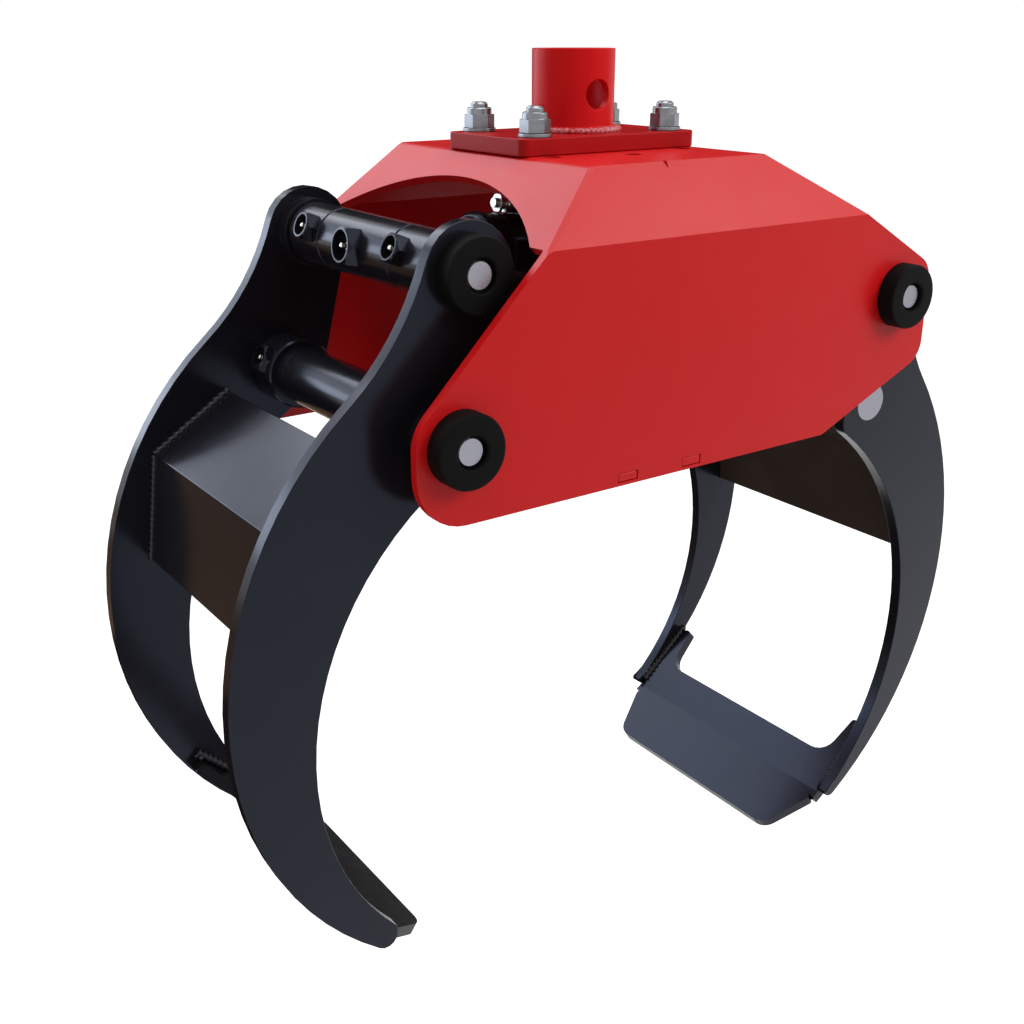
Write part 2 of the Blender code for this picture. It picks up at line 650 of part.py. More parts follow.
def build_tie_rods(paint, zinc):
    near = ROD_EYE_HALF + GAP
    for tag, sign in (('front', -1), ('back', 1)):
        middle = sign * 90.0
        low, high = sorted((sign * near, sign * TIE_EYE_OUT))
        eye = sleeve(PIN_C, low, high, EYE_R, 10.0)
        shank = rod((PIN_C[0], middle, PIN_C[1]), (PIN_D[0], middle, PIN_D[1]), 16.0, 24)
        low, high = sorted((sign * 74.0, sign * 106.0))
        far = sleeve(PIN_D, low, high, 35.0, 8.0)
        cup, foot, out = guard(PIN_C, sign * 78.0, 170.0, 38.0)
        made = join(eye, shank, far, cup)
        made = cut(made, guard_bore(foot, out, EYE_R - 1, 38.0), bore(PIN_C, BORE_R), bore(PIN_D, 26.3))
        node('tie_rod_' + tag, made, paint, PIN_C)
        node('tie_nipple_' + tag, nipple(PIN_C, sign * 78.0, 170.0, EYE_R - 1), zinc, PIN_C)


def main():
    clear_scene()
    red = material('red_paint', (0.52, 0.02, 0.025), 0.0, 0.35)
    paint = material('black_paint', (0.028, 0.029, 0.033), 0.0, 0.3)
    steel = material('bare_steel', (0.42, 0.42, 0.44), 1.0, 0.4)
    zinc = material('zinc_plate', (0.6, 0.62, 0.64), 1.0, 0.3)
    chrome = material('hard_chrome', (0.7, 0.71, 0.73), 1.0, 0.12)
    black = material('black_cap', (0.01, 0.01, 0.01), 0.0, 0.6)
    build_hood(red, steel, zinc, black)
    build_left_claw(paint, steel, black, zinc)
    build_right_claw(paint, steel, zinc)
    build_cylinder(paint, chrome, zinc)
    build_tie_rods(paint, zinc)


main()
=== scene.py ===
"""The looks of the log grapple: bent and laser-cut plates, welds, pins, fasteners and the studio.

Sizes are in millimetres in the part's own frame, and every mesh is made in metres. X points right,
Y away and Z up. The origin is where the axis of the rotator boss crosses the axis of its cross pin.
"""
import json
import math

import bpy
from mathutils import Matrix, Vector
from mathutils.geometry import intersect_point_line


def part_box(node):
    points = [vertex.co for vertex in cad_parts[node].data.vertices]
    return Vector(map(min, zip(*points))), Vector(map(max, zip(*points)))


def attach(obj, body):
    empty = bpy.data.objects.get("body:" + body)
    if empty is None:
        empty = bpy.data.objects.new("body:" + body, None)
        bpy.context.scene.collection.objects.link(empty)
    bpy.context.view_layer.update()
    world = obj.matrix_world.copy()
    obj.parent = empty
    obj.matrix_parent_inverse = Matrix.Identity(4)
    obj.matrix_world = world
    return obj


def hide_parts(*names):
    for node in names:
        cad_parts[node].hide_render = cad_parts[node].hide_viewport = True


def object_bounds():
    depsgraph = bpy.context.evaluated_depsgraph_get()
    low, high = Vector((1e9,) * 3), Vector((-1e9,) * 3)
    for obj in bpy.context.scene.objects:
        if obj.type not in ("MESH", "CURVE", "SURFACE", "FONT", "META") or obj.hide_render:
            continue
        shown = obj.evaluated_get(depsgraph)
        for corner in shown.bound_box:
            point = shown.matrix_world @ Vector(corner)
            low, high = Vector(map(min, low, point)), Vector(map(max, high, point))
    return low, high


MM = 0.001
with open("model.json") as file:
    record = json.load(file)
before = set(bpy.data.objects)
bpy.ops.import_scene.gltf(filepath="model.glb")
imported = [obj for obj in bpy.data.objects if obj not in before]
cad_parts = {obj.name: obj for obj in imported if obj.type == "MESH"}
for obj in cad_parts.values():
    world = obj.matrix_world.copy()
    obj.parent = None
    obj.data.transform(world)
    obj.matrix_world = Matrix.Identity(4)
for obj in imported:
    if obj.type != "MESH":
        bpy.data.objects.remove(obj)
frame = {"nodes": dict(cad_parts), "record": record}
cad_low, cad_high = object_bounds()
body_of_node = {node: body for body, nodes in frame["record"]["behaviour"]["bodies"].items()
                for node in nodes}

# The camera's place in metres, its angles in degrees, and its focal length in pixels of the frame.
CAMERA_PLACE = (-0.7389, -0.9460, 0.0489)
CAMERA_DOWN = 21.08
CAMERA_TURN = -35.31
FOCAL_PIXELS = 1233.94
FRAME_PIXELS = 1024
SENSOR = 36.0

# The studio, in metres. The grapple hangs, so the floor lies well under its claws.
FLOOR_DROP = 0.45
CARD_RISE = 0.03
AMBIENT = 0.42
FLOOR_GLOW = 0.85

# The room between pieces that touch on the real object.
GAP = 0.3

# The hood: a flat top with slopes on all sides. A notch cuts the front fold of the top.
TOP_Z = -48.0
TOP_HALF_X = 97.7
TOP_HALF_Y = 151.2
NOTCH_X = -25.5
SIDE_Y = 181.9
FOLD_LEFT = -161.8
FOLD_Z = TOP_Z - 57.6
FOLD_STRIP = 3.2
PLATE_TOP = TOP_Z + 15.1
BOSS_WELD_RING = 41.5
BOSS_WELD_Z = PLATE_TOP + 1.8
FASTENERS = ("front_left", "front_right", "back_left", "back_right")

# The claw plates' faces, as distances from the middle. The real plates are thinner than the solids,
# so their inner faces and all that ends on them move from IN to PLATE_IN.
LEFT_IN = 123.5
LEFT_PLATE_IN = 131.0
LEFT_OUT = 143.5
RIGHT_IN = 149.0
RIGHT_PLATE_IN = 156.5
RIGHT_OUT = 169.0
LEFT_MOVE = (LEFT_IN, LEFT_PLATE_IN)
RIGHT_MOVE = (RIGHT_IN, RIGHT_PLATE_IN)
LEFT_END_MOVE = (LEFT_IN - GAP, LEFT_PLATE_IN - GAP)
RIGHT_END_MOVE = (RIGHT_IN - GAP, RIGHT_PLATE_IN - GAP)

# The pins as (x, z), and for the pins with caps the face that each cap sits on. Pin D has none: its
# ends lie flush in the plates, and its middle is thin.
PIN_A = (-246.0, TOP_Z - 200.0)
PIN_B = (266.0, TOP_Z - 139.0)
PIN_C = (-210.5, TOP_Z - 74.5)
PIN_D = (258.0, TOP_Z - 250.0)
CAPPED = {"a": (PIN_A, SIDE_Y), "b": (PIN_B, SIDE_Y), "c": (PIN_C, LEFT_OUT)}
PIN_R = 17.5
BORE_R = PIN_R + GAP
STUB_R = 12.0
STUB_SUNK = 4.0
CAP_R = 31.0
CAP_LONG = 18.0
CAP_RECESS = 6.0
FLUSH_END_R = 19.4
FLUSH_END_Y = RIGHT_OUT + 0.4
THIN_R = 15.0

# The left pivot tube with the collar at its back end.
PIVOT_TUBE_R = 26.5
COLLAR_R = 33.0
COLLAR_FOOT = 92.0
COLLAR_NIPPLE_Y = 108.0

# The cylinder and the tie rods: rods that run from their eyes on pin C towards pins B and D.
CYLINDER_WAY = Vector((PIN_C[0] - PIN_B[0], 0, PIN_C[1] - PIN_B[1])).normalized()
EYE_R = 28.0
ROD_EYE_HALF = 61.0
ROD_R = 18.0
ROD_ROOT = EYE_R - 8.0
ROD_END_FROM_B = 208.0
TIE_EYE_OUT = 118.0
TIE_NIPPLE_Y = 78.0
TIE_ROD_Y = 90.0
TIE_ROD_R = 16.0
FAR_EYE_HALF = 16.0
FAR_EYE_R = 35.0
FAR_BORE_R = 26.3
FAR_ROOT = 28.0
ADAPTER_LONG = 26.0
ADAPTER_FLATS = 15.6

# The guards round the grease nipples. The rim is how far they reach from the axis of pin C.
GUARD_RIM = 38.0
ROD_GUARD_FLATS = 31.0
GUARD_FLATS = 24.0

# A hexagon this long cuts any turned piece here from end to end.
HEX_CUTTER = 200.0


# The camera and the lamps.

def make_camera():
    """A camera at the photograph's viewing angle."""
    turn = (math.radians(90 - CAMERA_DOWN), 0, math.radians(CAMERA_TURN))
    bpy.ops.object.camera_add(location=CAMERA_PLACE, rotation=turn)
    camera = bpy.context.object
    camera.name = "camera"
    camera.data.sensor_width = SENSOR
    camera.data.lens = SENSOR * FOCAL_PIXELS / FRAME_PIXELS
    camera.data.clip_start = 0.01
    camera.data.clip_end = 100.0
    bpy.context.scene.camera = camera


def add_lamp(name, place, target, size, watts, colour):
    """A soft rectangular lamp that faces the target."""
    bpy.ops.object.light_add(type="AREA", location=place)
    lamp = bpy.context.object
    lamp.name = name
    lamp.data.shape = "RECTANGLE"
    lamp.data.size, lamp.data.size_y = size
    lamp.data.energy = watts
    lamp.data.color = linear(colour)[:3]
    lamp.rotation_euler = (Vector(target) - Vector(place)).to_track_quat("-Z", "Y").to_euler()
    lamp.visible_camera = False


# The materials.

def linear(code):
    """The linear colour of an sRGB hex value."""
    values = []
    for start in (1, 3, 5):
        part = int(code[start:start + 2], 16) / 255
        values.append(part / 12.92 if part <= 0.04045 else ((part + 0.055) / 1.055) ** 2.4)
    return (*values, 1.0)


def per(size_mm):
    """The scale of a noise whose blotches are about this many millimetres across."""
    return 1.0 / (size_mm * MM)


def add_node(material, kind, settings=None, inputs=None):
    """A new node, with settings by attribute name and inputs by socket name: a value or an output."""
    node = material.node_tree.nodes.new(kind)
    for name, value in (settings or {}).items():
        setattr(node, name, value)
    for name, value in (inputs or {}).items():
        if isinstance(value, bpy.types.NodeSocket):
            material.node_tree.links.new(value, node.inputs[name])
        else:
            node.inputs[name].default_value = value
    return node


def new_material(name, metallic, specular):
    """A material with a plain Principled shader, and that shader's node."""
    made = bpy.data.materials.new(name)
    made.use_nodes = True
    shader = made.node_tree.nodes["Principled BSDF"]
    shader.inputs["Metallic"].default_value = metallic
    shader.inputs["Specular IOR Level"].default_value = specular
    return made, shader


def object_place(material):
    """The Object coordinates that every pattern here reads."""
    return add_node(material, "ShaderNodeTexCoord").outputs["Object"]


def link(material, output, socket):
    material.node_tree.links.new(output, socket)


def powder_coat(name, dark, light, specular):
    """Polyester powder coat on bent steel: even and satin, with the faint dimples of orange peel."""
    made, shader = new_material(name, 0.0, specular)
    where = object_place(made)
    cloud = add_node(made, "ShaderNodeTexNoise", None, {"Vector": where, "Scale": per(90), "Detail": 2.0})
    shade = add_node(made, "ShaderNodeMix", {"data_type": "RGBA"},
                     {"Factor": cloud.outputs["Fac"], 6: linear(dark), 7: linear(light)})
    link(made, shade.outputs[2], shader.inputs["Base Color"])
    drift = add_node(made, "ShaderNodeTexNoise", None, {"Vector": where, "Scale": per(25), "Detail": 2.0})
    gloss = add_node(made, "ShaderNodeMapRange", None,
                     {"Value": drift.outputs["Fac"], "To Min": 0.30, "To Max": 0.40})
    link(made, gloss.outputs["Result"], shader.inputs["Roughness"])
    peel = add_node(made, "ShaderNodeTexNoise", None, {"Vector": where, "Scale": per(4), "Detail": 1.0})
    dimples = add_node(made, "ShaderNodeBump", None,
                       {"Height": peel.outputs["Fac"], "Distance": 0.04 * MM, "Strength": 1.0})
    link(made, dimples.outputs["Normal"], shader.inputs["Normal"])
    return made


def black_enamel(name, dark, light, specular):
    """Black enamel sprayed on rolled plate: satin, with low waves under it, and a shine tinted blue as
    painted reflection of bluish light.
    """
    made, shader = new_material(name, 0.0, specular)
    where = object_place(made)
    # Painted reflection: the blue tint of the shine stands in for the colour of the light that the enamel
    # reflects.
    shader.inputs["Specular Tint"].default_value = linear("#C3D2F8")
    cloud = add_node(made, "ShaderNodeTexNoise", None, {"Vector": where, "Scale": per(60), "Detail": 3.0})
    shade = add_node(made, "ShaderNodeMix", {"data_type": "RGBA"},
                     {"Factor": cloud.outputs["Fac"], 6: linear(dark), 7: linear(light)})
    link(made, shade.outputs[2], shader.inputs["Base Color"])
    drift = add_node(made, "ShaderNodeTexNoise", None, {"Vector": where, "Scale": per(18), "Detail": 4.0})
    gloss = add_node(made, "ShaderNodeMapRange", None,
                     {"Value": drift.outputs["Fac"], "To Min": 0.16, "To Max": 0.24})
    link(made, gloss.outputs["Result"], shader.inputs["Roughness"])
    skin = add_node(made, "ShaderNodeTexNoise", None, {"Vector": where, "Scale": per(9), "Detail": 1.0})
    waves = add_node(made, "ShaderNodeBump", None,
                     {"Height": skin.outputs["Fac"], "Distance": 0.006 * MM, "Strength": 1.0})
    link(made, waves.outputs["Normal"], shader.inputs["Normal"])
    return made


def weld_enamel():
    """The same enamel over a weld bead, rougher for the scale and spatter beneath it."""
    made, shader = new_material("weld_enamel", 0.0, 0.3)
    where = object_place(made)
    scale = add_node(made, "ShaderNodeTexNoise", None, {"Vector": where, "Scale": per(3), "Detail": 4.0})
    shade = add_node(made, "ShaderNodeMix", {"data_type": "RGBA"},
                     {"Factor": scale.outputs["Fac"], 6: linear("#0B0B0F"), 7: linear("#20232B")})
    link(made, shade.outputs[2], shader.inputs["Base Color"])
    gloss = add_node(made, "ShaderNodeMapRange", None,
                     {"Value": scale.outputs["Fac"], "To Min": 0.25, "To Max": 0.5})
    link(made, gloss.outputs["Result"], shader.inputs["Roughness"])
    spatter = add_node(made, "ShaderNodeBump", None,
                       {"Height": scale.outputs["Fac"], "Distance": 0.3 * MM, "Strength": 1.0})
    link(made, spatter.outputs["Normal"], shader.inputs["Normal"])
    return made


def red_weld_painted_sheen():
    """The red coat on the boss's weld, rippled, with pale pink patches of painted highlight for the light
    that glints off its ripples.
    """
    made, shader = new_material("red_weld_painted_sheen", 0.0, 0.6)
    where = object_place(made)
    sheen_cloud = add_node(made, "ShaderNodeTexNoise", None, {"Vector": where, "Scale": per(4), "Detail": 4.0})
    # Painted highlight: the pale pink patches stand in for glints of light on the weld's ripples.
    sheen_patches = add_node(made, "ShaderNodeMapRange", None,
                       {"Value": sheen_cloud.outputs["Fac"], "From Min": 0.42, "From Max": 0.62})
    shade = add_node(made, "ShaderNodeMix", {"data_type": "RGBA"},
                     {"Factor": sheen_patches.outputs["Result"], 6: linear("#B5161C"), 7: linear("#BE6A72")})
    link(made, shade.outputs[2], shader.inputs["Base Color"])
    ripples = add_node(made, "ShaderNodeBump", None,
                       {"Height": sheen_cloud.outputs["Fac"], "Distance": 0.4 * MM, "Strength": 1.0})
    link(made, ripples.outputs["Normal"], shader.inputs["Normal"])
    shader.inputs["Roughness"].default_value = 0.3
    return made


def zinc_plate(name, dark, light):
    """Electroplated zinc: grey and lightly clouded, with a dull shine."""
    made, shader = new_material(name, 1.0, 0.5)
    where = object_place(made)
    cloud = add_node(made, "ShaderNodeTexNoise", None, {"Vector": where, "Scale": per(7), "Detail": 3.0})
    shade = add_node(made, "ShaderNodeMix", {"data_type": "RGBA"},
                     {"Factor": cloud.outputs["Fac"], 6: linear(dark), 7: linear(light)})
    link(made, shade.outputs[2], shader.inputs["Base Color"])
    gloss = add_node(made, "ShaderNodeMapRange", None,
                     {"Value": cloud.outputs["Fac"], "To Min": 0.24, "To Max": 0.40})
    link(made, gloss.outputs["Result"], shader.inputs["Roughness"])
    grain = add_node(made, "ShaderNodeTexNoise", None, {"Vector": where, "Scale": per(1.5), "Detail": 2.0})
    dents = add_node(made, "ShaderNodeBump", None,
                     {"Height": grain.outputs["Fac"], "Distance": 0.02 * MM, "Strength": 1.0})
    link(made, dents.outputs["Normal"], shader.inputs["Normal"])
    return made


def turned_steel():
    """Ground steel on the ends of the pins: flat grey with fine marks from the tool."""
    made, shader = new_material("turned_steel", 1.0, 0.5)
    where = object_place(made)
    marks = add_node(made, "ShaderNodeTexNoise", None, {"Vector": where, "Scale": per(2), "Detail": 3.0})
    shade = add_node(made, "ShaderNodeMix", {"data_type": "RGBA"},
                     {"Factor": marks.outputs["Fac"], 6: linear("#85858E"), 7: linear("#9B9BA5")})
    link(made, shade.outputs[2], shader.inputs["Base Color"])
    gloss = add_node(made, "ShaderNodeMapRange", None,
                     {"Value": marks.outputs["Fac"], "To Min": 0.30, "To Max": 0.45})
    link(made, gloss.outputs["Result"], shader.inputs["Roughness"])
    return made


def hard_chrome():
    """Ground and polished chrome on the piston rod: a bright mirror with a faint haze."""
    made, shader = new_material("hard_chrome", 1.0, 0.5)
    where = object_place(made)
    shader.inputs["Base Color"].default_value = linear("#C9CBCE")
    haze = add_node(made, "ShaderNodeTexNoise", None, {"Vector": where, "Scale": per(6), "Detail": 2.0})
    gloss = add_node(made, "ShaderNodeMapRange", None,
                     {"Value": haze.outputs["Fac"], "To Min": 0.07, "To Max": 0.15})
    link(made, gloss.outputs["Result"], shader.inputs["Roughness"])
    return made


def moulded_nylon():
    """Moulded nylon caps: matt black with the fine grain of the mould."""
    made, shader = new_material("moulded_nylon", 0.0, 0.07)
    where = object_place(made)
    grain = add_node(made, "ShaderNodeTexNoise", None, {"Vector": where, "Scale": per(1.6), "Detail": 2.0})
    shade = add_node(made, "ShaderNodeMix", {"data_type": "RGBA"},
                     {"Factor": grain.outputs["Fac"], 6: linear("#050505"), 7: linear("#090909")})
    link(made, shade.outputs[2], shader.inputs["Base Color"])
    gloss = add_node(made, "ShaderNodeMapRange", None,
                     {"Value": grain.outputs["Fac"], "To Min": 0.55, "To Max": 0.7})
    link(made, gloss.outputs["Result"], shader.inputs["Roughness"])
    pits = add_node(made, "ShaderNodeBump", None,
                    {"Height": grain.outputs["Fac"], "Distance": 0.04 * MM, "Strength": 1.0})
    link(made, pits.outputs["Normal"], shader.inputs["Normal"])
    return made


# The modelling helpers.

def pick(piece):
    """Leave edit mode, and select this piece alone."""
    if bpy.context.object and bpy.context.object.mode != "OBJECT":
        bpy.ops.object.mode_set(mode="OBJECT")
    bpy.ops.object.select_all(action="DESELECT")
    piece.select_set(True)
    bpy.context.view_layer.objects.active = piece


def settle(piece):
    """Put the object at the origin, with its place in its mesh, and its faces pointing outwards."""
    pick(piece)
    bpy.ops.object.transform_apply(location=True, rotation=True, scale=True)
    bpy.ops.object.mode_set(mode="EDIT")
    bpy.ops.mesh.select_all(action="SELECT")
    bpy.ops.mesh.remove_doubles(threshold=0.01 * MM)
    bpy.ops.mesh.normals_make_consistent(inside=False)
    bpy.ops.object.mode_set(mode="OBJECT")


def use_modifier(piece, kind, **settings):
    """Add a modifier with these settings and apply it."""
    pick(piece)
    modifier = piece.modifiers.new(kind.lower(), kind)
    for name, value in settings.items():
        setattr(modifier, name, value)
    bpy.ops.object.modifier_apply(modifier=modifier.name)


def smooth(piece, angle):
    """Shade the piece smooth, but for the edges that turn by more than the angle."""
    pick(piece)
    bpy.ops.object.shade_smooth_by_angle(angle=math.radians(angle))


def finish(piece, body, material, slot, *replaced):
    """Give a piece its material and its body, and hide the CAD nodes that it stands for. The slot is not
    used.
    """
    piece.data.materials.clear()
    piece.data.materials.append(material)
    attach(piece, body)
    if replaced:
        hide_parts(*replaced)


def plate_from(node, name):
    """A merged copy of a CAD node with its flat faces whole again, ready for its edges."""
    pick(frame["nodes"][node])
    bpy.ops.object.duplicate()
    piece = bpy.context.object
    for key in list(piece.keys()):
        if key.startswith("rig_"):
            del piece[key]
    piece.parent = None
    piece.name = name
    piece.data.name = name
    bpy.ops.mesh.customdata_custom_splitnormals_clear()
    bpy.ops.object.mode_set(mode="EDIT")
    bpy.ops.mesh.select_all(action="SELECT")
    bpy.ops.mesh.remove_doubles(threshold=0.02 * MM)
    bpy.ops.mesh.dissolve_limited(angle_limit=math.radians(0.5))
    bpy.ops.object.mode_set(mode="OBJECT")
    return piece


def round_edges(piece, width, segments=3, angle=30.0, smooth_angle=40.0):
    """Round every sharp edge over, as paint and grinding leave it, and keep the flat faces flat."""
    use_modifier(piece, "BEVEL", width=width * MM, segments=segments, limit_method="ANGLE",
                 angle_limit=math.radians(angle), harden_normals=False, miter_outer="MITER_ARC")
    smooth(piece, smooth_angle)
    use_modifier(piece, "WEIGHTED_NORMAL", keep_sharp=True)


def edged(node, width, material, slot, moved=None, **rounding):
    """A CAD piece with its edges rounded; moved takes its faces at one distance from y = 0 to another."""
    piece = plate_from(node, node + "_finished")
    if moved:
        move_faces(piece, *moved)
    round_edges(piece, width, **rounding)
    finish(piece, body_of_node[node], material, slot, node)


def move_faces(piece, old, new):
    """Take the points that lie this far in front of and behind the middle to another distance."""
    for vertex in piece.data.vertices:
        across = vertex.co.y / MM
        if abs(abs(across) - old) < 0.05:
            vertex.co.y = math.copysign(new * MM, across)


def select_edges(piece, test):
    """Leave edit mode on, with the edges whose two ends pass the test selected."""
    pick(piece)
    bpy.ops.object.mode_set(mode="EDIT")
    bpy.ops.mesh.select_mode(type="EDGE")
    bpy.ops.mesh.select_all(action="DESELECT")
    bpy.ops.object.mode_set(mode="OBJECT")
    points = piece.data.vertices
    for edge in piece.data.edges:
        edge.select = test(*(points[index].co / MM for index in edge.vertices))
    bpy.ops.object.mode_set(mode="EDIT")


def on_line(point, start, end):
    """Whether a point lies on the stretch from start to end, within 0.3 mm."""
    closest, share = intersect_point_line(point, start, end)
    return (point - closest).length < 0.3 and -0.01 < share < 1.01


def direction(angle):
    """The unit vector this many degrees up from +X, in the plane that the claws turn in."""
    return Vector((math.cos(math.radians(angle)), 0, math.sin(math.radians(angle))))


def turned_piece(name, profile, centre, axis, steps=64):
    """A ring or rod spun from its half section: points of (distance along, radius), in order.

    A section that starts and ends on the axis closes there, and any other is closed on itself."""
    points = [(radius * MM, 0.0, along * MM) for along, radius in profile]
    edges = [(index, index + 1) for index in range(len(points) - 1)]
    if profile[0][1] > 0:
        edges.append((len(points) - 1, 0))
    bpy.ops.mesh.primitive_plane_add()
    piece = bpy.context.object
    piece.name = name
    piece.data.clear_geometry()
    piece.data.from_pydata(points, edges, [])
    pick(piece)
    bpy.ops.object.mode_set(mode="EDIT")
    bpy.ops.mesh.select_all(action="SELECT")
    bpy.ops.mesh.spin(steps=steps, angle=2 * math.pi, center=(0, 0, 0), axis=(0, 0, 1))
    bpy.ops.object.mode_set(mode="OBJECT")
    piece.rotation_mode = "QUATERNION"
    piece.rotation_quaternion = Vector((0, 0, 1)).rotation_difference(Vector(axis))
    piece.location = Vector(centre) * MM
    settle(piece)
    smooth(piece, 30.0)
    use_modifier(piece, "WEIGHTED_NORMAL", keep_sharp=True)
    return piece


def hex_piece(name, profile, centre, axis, across):
    """A turned piece whose widest part is then milled to a hexagon, with its turned ends kept."""
    piece = turned_piece(name, profile, centre, axis)
    bpy.ops.mesh.primitive_cylinder_add(vertices=6, radius=across / math.sqrt(3) * MM,
                                        depth=HEX_CUTTER * MM)
    hexagon = bpy.context.object
    hexagon.rotation_mode = "QUATERNION"
    hexagon.rotation_quaternion = Vector((0, 0, 1)).rotation_difference(Vector(axis))
    hexagon.location = Vector(centre) * MM
    settle(hexagon)
    use_modifier(piece, "BOOLEAN", object=hexagon, operation="INTERSECT", solver="EXACT")
    pick(hexagon)
    bpy.ops.object.delete()
    smooth(piece, 30.0)
    return piece


def bead(name, route, radius, pitch, swell):
    """A weld bead: a tube along the route that swells and shrinks with each ripple of the weld.

    Six points shape each ripple, and two slow waves keep the bead from looking machine-made."""
    spacing = pitch / 6
    points = []
    for start, end in zip(route, route[1:]):
        reach = Vector(end) - Vector(start)
        count = max(2, round(reach.length / spacing))
        points.extend(Vector(start) + reach * (step / count) for step in range(count))
    points.append(Vector(route[-1]))
    curve = bpy.data.curves.new(name, "CURVE")
    curve.dimensions = "3D"
    curve.bevel_depth = radius * MM
    curve.bevel_resolution = 3
    curve.use_fill_caps = True
    spline = curve.splines.new("POLY")
    spline.points.add(len(points) - 1)
    travelled = 0.0
    for index, point in enumerate(points):
        if index:
            travelled += (point - points[index - 1]).length
        ripple = math.sin(2 * math.pi * travelled / pitch)
        drift = math.sin(travelled / 7.3) + math.sin(travelled / 17.1 + 1.0)
        spline.points[index].co = (*(point * MM), 1.0)
        spline.points[index].radius = 1.0 + swell * ripple + 0.05 * drift
    piece = bpy.data.objects.new(name, curve)
    bpy.context.scene.collection.objects.link(piece)
    pick(piece)
    bpy.ops.object.convert(target="MESH")
    settle(piece)
    smooth(piece, 50.0)
    return piece


def tube(name, pin, low, high, outer, inner):
    """A turned tube round a claw pin's axis, chamfered at its ends."""
    cut = 1.6
    profile = [(low, inner), (low, outer - cut), (low + cut, outer), (high - cut, outer),
               (high, outer - cut), (high, inner)]
    return turned_piece(name, profile, (pin[0], 0, pin[1]), (0, 1, 0))


# The studio.

def seen_directly(material):
    """1 where a camera, glossy or transmission ray looks, and 0 for the rays that carry light."""
    rays = add_node(material, "ShaderNodeLightPath").outputs
    straight = add_node(material, "ShaderNodeMath", {"operation": "MAXIMUM"},
                        {0: rays["Is Camera Ray"], 1: rays["Is Glossy Ray"]})
    chosen = add_node(material, "ShaderNodeMath", {"operation": "MAXIMUM"},
                      {0: straight.outputs["Value"], 1: rays["Is Transmission Ray"]})
    return chosen.outputs["Value"]


def make_floor(height):
    """A pale matt floor that looks white, and still takes the object's shadow."""
    bpy.ops.mesh.primitive_plane_add(size=60.0, location=(0, 0, height))
    floor = bpy.context.object
    floor.name = "floor"
    pale, shader = new_material("pale_floor", 0.0, 0.0)
    shader.inputs["Base Color"].default_value = linear("#C8C7C5")
    shader.inputs["Roughness"].default_value = 0.9
    level = add_node(pale, "ShaderNodeMath", {"operation": "MULTIPLY"},
                     {0: seen_directly(pale), 1: FLOOR_GLOW})
    link(pale, level.outputs["Value"], shader.inputs["Emission Strength"])
    shader.inputs["Emission Color"].default_value = (1, 1, 1, 1)
    floor.data.materials.append(pale)


def make_surround():
    """A white world that lights the object at a plain level and looks white itself."""
    world = bpy.data.worlds.new("studio")
    bpy.context.scene.world = world
    world.use_nodes = True
    strength = add_node(world, "ShaderNodeMapRange", None,
                        {"Value": seen_directly(world), "To Min": AMBIENT, "To Max": 1.0})
    surround = world.node_tree.nodes["Background"]
    surround.inputs["Color"].default_value = (1, 1, 1, 1)
    link(world, strength.outputs["Result"], surround.inputs["Strength"])


def reflected_card(name, colour, place, size, facing, glow=0.0):
    """A card that only reflections see, so that gloss has more than plain white to show."""
    bpy.ops.mesh.primitive_plane_add(size=1.0, location=place)
    card = bpy.context.object
    card.name = name
    card.dimensions = (*size, 0.0)
    card.rotation_euler = Vector(facing).to_track_quat("Z", "Y").to_euler()
    card.visible_camera = False
    card.visible_diffuse = False
    card.visible_transmission = False
    card.visible_shadow = False
    felt, shader = new_material(name + "_felt", 0.0, 0.0)
    shader.inputs["Base Color"].default_value = linear(colour)
    shader.inputs["Emission Color"].default_value = linear(colour)
    shader.inputs["Emission Strength"].default_value = glow
    shader.inputs["Roughness"].default_value = 1.0
    card.data.materials.append(felt)


def make_studio():
    """The floor, the surround, four soft lamps and the cards that the gloss reflects."""
    floor_z = cad_low.z - FLOOR_DROP
    make_floor(floor_z)
    make_surround()
    add_lamp("back_lamp", (-0.70, 1.80, 1.45), (0, 0, -0.25), (1.6, 1.1), watts=22, colour="#EEF3FF")
    add_lamp("front_lamp", (1.35, -1.80, 1.02), (0, 0, -0.2), (1.5, 1.0), watts=29, colour="#FFFAF8")
    add_lamp("top_lamp", (0.1, -0.2, 2.1), (0, 0, -0.2), (1.6, 1.2), watts=24, colour="#FFFFFF")
    add_lamp("warm_lamp", (-1.9, -0.3, -0.75), (0, 0, -0.1), (0.5, 0.9), watts=5, colour="#FFB98A")
    to_front = (0.4, -1.9, 0)
    reflected_card("dark_flag", "#0A0A0A", (1.25, 1.75, 0.02), (2.2, 2.7), (-1.25, -1.75, 0))
    reflected_card("window_card", "#DCE6F5", (-1.45, 1.9, 0.12), (2.4, 0.5), to_front, glow=6.0)
    reflected_card("sky_card", "#DCE6F5", (-1.45, 1.9, 0.58), (2.4, 0.42), to_front, glow=2.0)
    reflected_card("warm_card", "#A07C55", (-2.6, 2.6, -0.79), (5.0, 0.26), (0.7, -0.7, 0), glow=0.3)
    card_z = floor_z + CARD_RISE
    reflected_card("dark_card", "#221A14", (-2.1, 0.85, card_z), (4.8, 1.5), (0, 0, 1))
    reflected_card("brown_card", "#B08C6A", (-2.1, 3.1, card_z), (4.8, 3.0), (0, 0, 1))


# The pieces.

